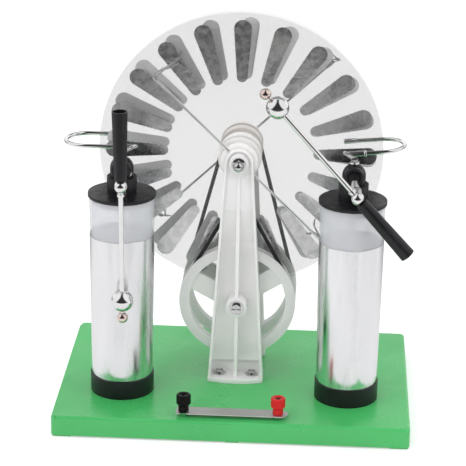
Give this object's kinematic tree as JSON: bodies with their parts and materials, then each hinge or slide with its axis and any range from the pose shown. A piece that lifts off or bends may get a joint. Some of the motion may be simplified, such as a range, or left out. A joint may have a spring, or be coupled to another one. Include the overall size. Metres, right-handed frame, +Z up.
{
  "type": "electrostatic induction generator",
  "caption": "Electrostatic induction generator with two counter-rotating foil-sector discs, two storage jars, discharge rods and a hand crank on a green base.",
  "frame": {"origin": "middle of the base on the surface it stands on", "axes": "+X to the right seen from the front, +Y to the back along the disc axle, +Z up"},
  "size_m": [0.3358, 0.229, 0.3773],
  "materials": {
    "green_base": "moulded, slightly glossy",
    "milky_plastic": "milky moulded nylon",
    "plated_steel": "bright plated",
    "steel": "turned",
    "black_rubber": "round cord rubber",
    "black_plastic": "moulded, satin",
    "red_plastic": "moulded, glossy",
    "clear_acrylic": "polished sheet",
    "jar_acrylic": "polished, faintly blue",
    "sector_foil": "dull foil",
    "jar_foil": "bright foil, lightly creased",
    "brass": "turned",
    "chrome_wire": "polished",
    "satin_metal": "satin"
  },
  "bodies": {
    "stand": {"base_plate": "green_base", "base_rim": "green_base", "base_ribs": "green_base", "column_screws": "plated_steel", "front_column": "milky_plastic", "rear_column": "milky_plastic", "upper_axle": "steel", "upper_axle_nuts": "plated_steel", "front_belt": "black_rubber", "rear_belt": "black_rubber", "disc_spacer": "brass", "left_cup": "black_plastic", "right_cup": "black_plastic", "left_jar": "jar_acrylic", "right_jar": "jar_acrylic", "left_outer_foil": "jar_foil", "right_outer_foil": "jar_foil", "inner_foils": "jar_foil", "jar_screws": "plated_steel", "left_cap": "black_plastic", "right_cap": "black_plastic", "left_elbow": "black_plastic", "right_elbow": "black_plastic", "left_conductor": "satin_metal", "right_conductor": "satin_metal", "contacts": "brass", "left_comb": "chrome_wire", "right_comb": "chrome_wire", "terminal_studs": "plated_steel"},
    "crank": {"lower_axle": "steel", "axle_screws": "plated_steel", "front_drive_wheel": "milky_plastic", "rear_drive_wheel": "milky_plastic", "drive_wheel_screws": "steel", "crank_arm": "steel", "crank_pin": "steel"},
    "crank_grip": {"crank_handle": "black_plastic"},
    "front_disc_set": {"front_disc": "clear_acrylic", "front_sectors": "sector_foil", "front_pulley": "milky_plastic", "front_pulley_bush": "brass"},
    "rear_disc_set": {"rear_disc": "clear_acrylic", "rear_sectors": "sector_foil", "rear_pulley": "milky_plastic", "rear_pulley_bush": "brass"},
    "front_neutralizer": {"front_neutralizer_hub": "milky_plastic", "front_neutralizer_rod": "chrome_wire", "front_brushes": "chrome_wire"},
    "rear_neutralizer": {"rear_neutralizer_hub": "milky_plastic", "rear_neutralizer_rod": "chrome_wire", "rear_brushes": "chrome_wire"},
    "left_lever": {"left_joint_ball": "chrome_wire", "left_discharge_rod": "chrome_wire", "left_handle": "black_plastic"},
    "right_lever": {"right_joint_ball": "chrome_wire", "right_discharge_rod": "chrome_wire", "right_handle": "black_plastic"},
    "black_terminal": {"black_knob": "black_plastic"},
    "red_terminal": {"red_knob": "red_plastic"},
    "link": {"link_bar": "satin_metal"}
  },
  "joints": [
    {"name": "crank_turn", "type": "hinge", "parent": "stand", "child": "crank", "pos_m": [0, 0.0205, 0.0974], "axis": [0, 1, 0], "continuous": true},
    {"name": "crank_grip_spin", "type": "hinge", "parent": "crank", "child": "crank_grip", "pos_m": [0, 0.088, 0.0454], "axis": [0, 1, 0], "continuous": true},
    {"name": "front_disc_spin", "type": "hinge", "parent": "stand", "child": "front_disc_set", "pos_m": [0, 0.0205, 0.2423], "axis": [0, 1, 0], "continuous": true},
    {"name": "rear_disc_spin", "type": "hinge", "parent": "stand", "child": "rear_disc_set", "pos_m": [0, 0.0205, 0.2423], "axis": [0, 1, 0], "continuous": true},
    {"name": "front_neutralizer_turn", "type": "hinge", "parent": "stand", "child": "front_neutralizer", "pos_m": [0, -0.012, 0.2423], "axis": [0, -1, 0], "range_deg": [-20, 8]},
    {"name": "rear_neutralizer_turn", "type": "hinge", "parent": "stand", "child": "rear_neutralizer", "pos_m": [0, 0.053, 0.2423], "axis": [0, -1, 0], "range_deg": [-25, 15]},
    {"name": "left_rod_swing", "type": "hinge", "parent": "stand", "child": "left_lever", "pos_m": [-0.1036, -0.087, 0.2386], "axis": [0, -1, 0], "range_deg": [-230, 49]},
    {"name": "right_rod_swing", "type": "hinge", "parent": "stand", "child": "right_lever", "pos_m": [0.1104, -0.087, 0.2346], "axis": [0, -1, 0], "range_deg": [-277, 13]},
    {"name": "black_knob_turn", "type": "hinge", "parent": "stand", "child": "black_terminal", "pos_m": [-0.044, -0.0995, 0.033], "axis": [0, 0, 1], "range_deg": [0, 720]},
    {"name": "red_knob_turn", "type": "hinge", "parent": "stand", "child": "red_terminal", "pos_m": [0.044, -0.0995, 0.033], "axis": [0, 0, 1], "range_deg": [0, 720]},
    {"name": "link_bar_swing", "type": "hinge", "parent": "stand", "child": "link", "pos_m": [0.044, -0.0995, 0.0245], "axis": [0, 0, 1], "range_deg": [-40, 0]}
  ],
  "couplings": [
    {"joint": "front_disc_spin", "follows": "crank_turn", "ratio": -3.1294},
    {"joint": "rear_disc_spin", "follows": "crank_turn", "ratio": 3.1294}
  ]
}
